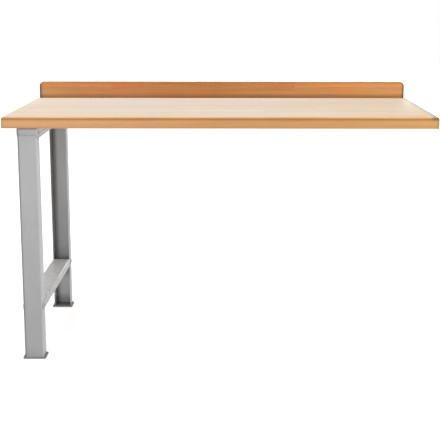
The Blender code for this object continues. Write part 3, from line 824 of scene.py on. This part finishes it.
for node, legNode in (("front_foot_plate", "front_leg"), ("rear_foot_plate", "rear_leg")):
    low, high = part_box(node)
    plate = startCube(node.replace("_plate", ""), low, high)
    midZ = (low[2] + high[2]) / 2
    weightedBevel(plate, [
        (lambda edge: edgeRun(edge) == 2, foot["corner"]),
        (lambda edge: edgeRun(edge) != 2 and edgeMiddle(edge).z > midZ, foot["ease"]),
    ], foot["steps"])
    x, y = middleOf(legNode)[:2]
    drill([plate], foot["hole"], foot["drillDepth"], (x, y, midZ))
    smooth(plate)
    paint(plate, darkPaint)
    fit(plate, "dark_grey_paint", node)
print("feet done")


# fasteners: each kind is turned once, cut to its hexagon, and copied to its places

thread = {"radius": 0.004, "depth": 0.00045, "pitch": 0.00125, "start": 0.001, "tipEase": 0.0008,
          "hole": 0.0043}
hexagon = {"inside": 0.0001, "outside": 0.0003}  # a chamfer starts inside the flats, ends past the corners


def ridges(radius, depth, start, stop, pitch):  # a row of thread crests from start down to stop
    points = []
    count = int((start - stop) / pitch)
    for i in range(count):
        crest = start - i * pitch
        points += [(radius, crest), (radius - depth, crest - pitch / 2)]
    return points


def boltShank(length):
    radius, pitch = thread["radius"], thread["pitch"]
    crests = ridges(radius, thread["depth"], -thread["start"], pitch - length, pitch)
    return [(radius, 0)] + crests + [(radius - thread["tipEase"], -length), (0, -length)]


def hexBlock(name, across, low, high, chamfer):  # hexagon with its upper corners turned off
    block = startCylinder(name, across / rootThree, high - low, 6, (0, 0, (low + high) / 2))
    flat = across / 2 - hexagon["inside"]
    reach = across / rootThree + hexagon["outside"]
    turned = lathe("turned", [(0, high), (flat, high), (reach, high - chamfer), (reach, low), (0, low)])
    combine(block, turned, "INTERSECT")
    return block


def socketCut(piece, across, depth, top):
    combine(piece, startCylinder("socket", across / rootThree, 2 * depth, 6, (0, 0, top)), "DIFFERENCE")


button = {"radius": 0.007, "height": 0.0024, "rim": 0.0007, "rimEase": 0.0003, "steps": 8,
          "socket": 0.005, "socketDepth": 0.0018, "length": 0.016}


def makeButtonBolt():
    radius, height, rim, ease = [button[key] for key in ("radius", "height", "rim", "rimEase")]
    dome = [(0, height)]
    for i in range(1, button["steps"] + 1):
        angle = quarter * (1 - i / button["steps"])
        dome.append((radius * math.cos(angle), rim + (height - rim) * math.sin(angle)))
    bolt = lathe("button_bolt", dome + [(radius, ease), (radius - ease, 0)] + boltShank(button["length"]))
    socketCut(bolt, button["socket"], button["socketDepth"], height)
    return bolt


nutShape = {"across": 0.013, "height": 0.008, "chamfer": 0.0007, "bodyFrom": 0.0009,
            "collar": 0.0088, "collarHeight": 0.0018, "collarTop": 0.007,
            "rimHeight": 0.0005, "rimEase": 0.0002,
            "mouth": 0.0056, "mouthDepth": 0.0004, "overrun": 0.001}


def makeNut():
    rim, ease, shoulder = nutShape["collar"], nutShape["rimEase"], nutShape["collarHeight"]
    nut = lathe("flange_nut", [(0, shoulder), (nutShape["collarTop"], shoulder),
                               (rim - ease, nutShape["rimHeight"]), (rim, ease), (rim - ease, 0), (0, 0)])
    across, start, top, chamfer = [nutShape[key] for key in ("across", "bodyFrom", "height", "chamfer")]
    combine(nut, hexBlock("nut_body", across, start, top, chamfer), "UNION")
    inner, over = thread["hole"], nutShape["overrun"]
    bore = lathe("bore", [(0, top + over), (nutShape["mouth"], top + over),
                          (inner, top - nutShape["mouthDepth"]), (inner, -over), (0, -over)])
    combine(nut, bore, "DIFFERENCE")
    return nut


hexHead = {"across": 0.013, "height": 0.0053, "chamfer": 0.0007, "shankInto": 0.002, "length": 0.018}


def makeHexBolt():
    bolt = hexBlock("hex_bolt", hexHead["across"], 0, hexHead["height"], hexHead["chamfer"])
    neck = [(0, hexHead["shankInto"]), (thread["radius"], hexHead["shankInto"])]
    combine(bolt, lathe("shank", neck + boltShank(hexHead["length"])[1:]), "UNION")
    return bolt


washerShape = {"radius": 0.008, "thickness": 0.0016, "ease": 0.0002}


def makeWasher():
    outer, ease, top = washerShape["radius"], washerShape["ease"], washerShape["thickness"]
    inner = thread["hole"]
    return lathe("washer", [(outer, top - ease), (outer - ease, top),
                            (inner + ease, top), (inner, top - ease),
                            (inner, ease), (inner + ease, 0),
                            (outer - ease, 0), (outer, ease)], closed=True)


screwShape = {"head": 0.005, "headEase": 0.0002, "radius": 0.0025, "length": 0.060,
              "threadFrom": 0.014, "threadTo": 0.052, "pitch": 0.0026, "threadDepth": 0.0007,
              "socket": 0.004, "socketDepth": 0.002}


def makeScrew():
    head, ease, neck = screwShape["head"], screwShape["headEase"], screwShape["radius"]
    start, stop = -screwShape["threadFrom"], -screwShape["threadTo"]
    crests = ridges(neck, screwShape["threadDepth"], start, stop, screwShape["pitch"])
    point = [(neck - screwShape["threadDepth"], stop), (0, -screwShape["length"])]
    cone = [(0, 0), (head - ease, 0), (head, -ease), (neck, neck - head)]
    screw = lathe("wood_screw", cone + crests + point)
    socketCut(screw, screwShape["socket"], screwShape["socketDepth"], 0)
    return screw


insertShape = {"radius": 0.0065, "length": 0.018, "plainEnd": 0.003, "pitch": 0.0025,
               "threadDepth": 0.0009, "ease": 0.0005}


def makeInsert():
    outer, top, ease = insertShape["radius"], insertShape["length"], insertShape["ease"]
    inner, plain = thread["hole"], insertShape["plainEnd"]
    crests = ridges(outer, insertShape["threadDepth"], top - plain, plain, insertShape["pitch"])
    return lathe("insert", [(inner + ease, top), (outer - ease, top), (outer, top - ease)] + crests
                 + [(outer, ease), (outer - ease, 0), (inner + ease, 0), (inner, ease), (inner, top - ease)],
                 closed=True)


def spread(master, material, slot, nodes, seat):  # seat: where a node has the master's origin, and its turn
    smooth(master)
    paint(master, material)
    for node in nodes:
        spot, rotation = seat(node)
        fit(placeCopy(master, node + "_fine", spot, rotation), slot, node)
    bpy.data.objects.remove(master)


def boltSeat(node):
    low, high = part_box(node)
    y, z = middleOf(node)[1:]
    if node.endswith("right"):
        return (high[0] - button["height"], y, z), (0, quarter, 0)
    return (low[0] + button["height"], y, z), (0, -quarter, 0)


def nutSeat(node):
    low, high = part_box(node)
    y, z = middleOf(node)[1:]
    if node.endswith("right"):
        return (high[0], y, z), (0, -quarter, 0)
    return (low[0], y, z), (0, quarter, 0)


def hexSeat(node):
    x, y = middleOf(node)[:2]
    return (x, y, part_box(node)[0][2] + hexHead["height"]), (math.pi, 0, 0)


def ringSeat(node):
    x, y = middleOf(node)[:2]
    return (x, y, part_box(node)[0][2]), (0, 0, 0)


def screwSeat(node):
    x, _, z = middleOf(node)
    return (x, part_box(node)[1][1], z), (-quarter, 0, 0)


spread(makeButtonBolt(), greyPaint, "grey_paint", boltNodes, boltSeat)
spread(makeNut(), zincSteel, "zinc_steel", nodesNamed("rail_nut", "beam_nut"), nutSeat)
spread(makeHexBolt(), zincSteel, "zinc_steel", topBoltNodes, hexSeat)
spread(makeWasher(), zincSteel, "zinc_steel", nodesNamed("top_washer"), ringSeat)
spread(makeScrew(), zincSteel, "zinc_steel", screwNodes, screwSeat)
spread(makeInsert(), brassMetal, "brass", insertNodes, ringSeat)
print("fasteners done")


# floor and backdrop: white to the eye, with a plain soft light for the object

stage = {"size": 30, "drop": 0.0004, "white": 0.72, "roughness": 0.9, "lift": 0.625, "worldLight": 0.40}


def seenDirectly(tree):  # 1 for what the camera, a mirror or glass sees, 0 for the light that the object gets
    path = addNode(tree, "ShaderNodeLightPath").outputs
    seen = calculate(tree, "MAXIMUM", path["Is Camera Ray"], path["Is Glossy Ray"])
    return calculate(tree, "MAXIMUM", seen, path["Is Transmission Ray"])


deselectAll()
bpy.ops.mesh.primitive_plane_add(size=stage["size"], location=(0, 0, -stage["drop"]))
floor = nameAndApply("floor")
floorPaint, floorShader = newMaterial("floor_white")
floorShader.inputs["Base Color"].default_value = opaque((stage["white"],) * 3)
floorShader.inputs["Roughness"].default_value = stage["roughness"]
floorShader.inputs["Specular IOR Level"].default_value = 0.0
floorShader.inputs["Emission Color"].default_value = (1, 1, 1, 1)
tree = floorPaint.node_tree
glow = calculate(tree, "MULTIPLY", seenDirectly(tree), stage["lift"])
tree.links.new(glow, floorShader.inputs["Emission Strength"])
paint(floor, floorPaint)

world = bpy.data.worlds.new("studio")
world.use_nodes = True
bpy.context.scene.world = world
tree = world.node_tree
soft = tree.nodes["Background"]
soft.inputs["Color"].default_value = (1, 1, 1, 1)
soft.inputs["Strength"].default_value = stage["worldLight"]
white = addNode(tree, "ShaderNodeBackground", {"Color": (1, 1, 1, 1), "Strength": 1.0})
choose = addNode(tree, "ShaderNodeMixShader", {
    0: seenDirectly(tree), 1: soft.outputs[0], 2: white.outputs[0]})
tree.links.new(choose.outputs[0], tree.nodes["World Output"].inputs["Surface"])


# lamps: wide suns, and a panel low and far to the right that reaches in under the top

suns = {"front_lamp": {"from": (-0.26, -0.96, 0.07), "strength": 0.745, "angle": 12},
        "key_lamp": {"from": (0.86, -0.34, 0.40), "strength": 0.75, "angle": 20},
        "ceiling_lamp": {"from": (0.05, -0.12, 0.99), "strength": 1.52, "angle": 60},
        "rear_lamp": {"from": (0.10, 0.99, 0.05), "strength": 0.60, "angle": 20}}
sunDistance = 4
lowLamp = {"spot": (9.5, -0.9, 0.45), "target": (-0.6, 0, 0.5), "power": 330, "size": 1.6}


def addLamp(name, kind, spot, energy, away):  # away: from what is lit towards the lamp
    deselectAll()
    bpy.ops.object.light_add(type=kind, location=spot)
    lamp = bpy.context.object
    lamp.name = name
    lamp.data.energy = energy
    lamp.rotation_euler = away.to_track_quat("Z", "Y").to_euler()
    return lamp


for name, sun in suns.items():
    away = Vector(sun["from"])
    lamp = addLamp(name, "SUN", away * sunDistance, sun["strength"], away)
    lamp.data.angle = math.radians(sun["angle"])
panel = addLamp("low_lamp", "AREA", lowLamp["spot"], lowLamp["power"],
                Vector(lowLamp["spot"]) - Vector(lowLamp["target"]))
panel.data.size = lowLamp["size"]
panel.visible_camera = False


# camera

view = {"spot": (0.0358, -3.9022, 1.2770), "pitch": 11.205, "yaw": 0.563, "lens": 85.448, "sensor": 36,
        "shiftY": -0.04}

deselectAll()
bpy.ops.object.camera_add(location=view["spot"],
                          rotation=(math.radians(90 - view["pitch"]), 0, math.radians(view["yaw"])))
camera = bpy.context.object
camera.data.lens = view["lens"]
camera.data.sensor_width = view["sensor"]
camera.data.shift_y = view["shiftY"]
bpy.context.scene.camera = camera
bpy.context.scene.view_settings.view_transform = "Standard"
print("stage done")
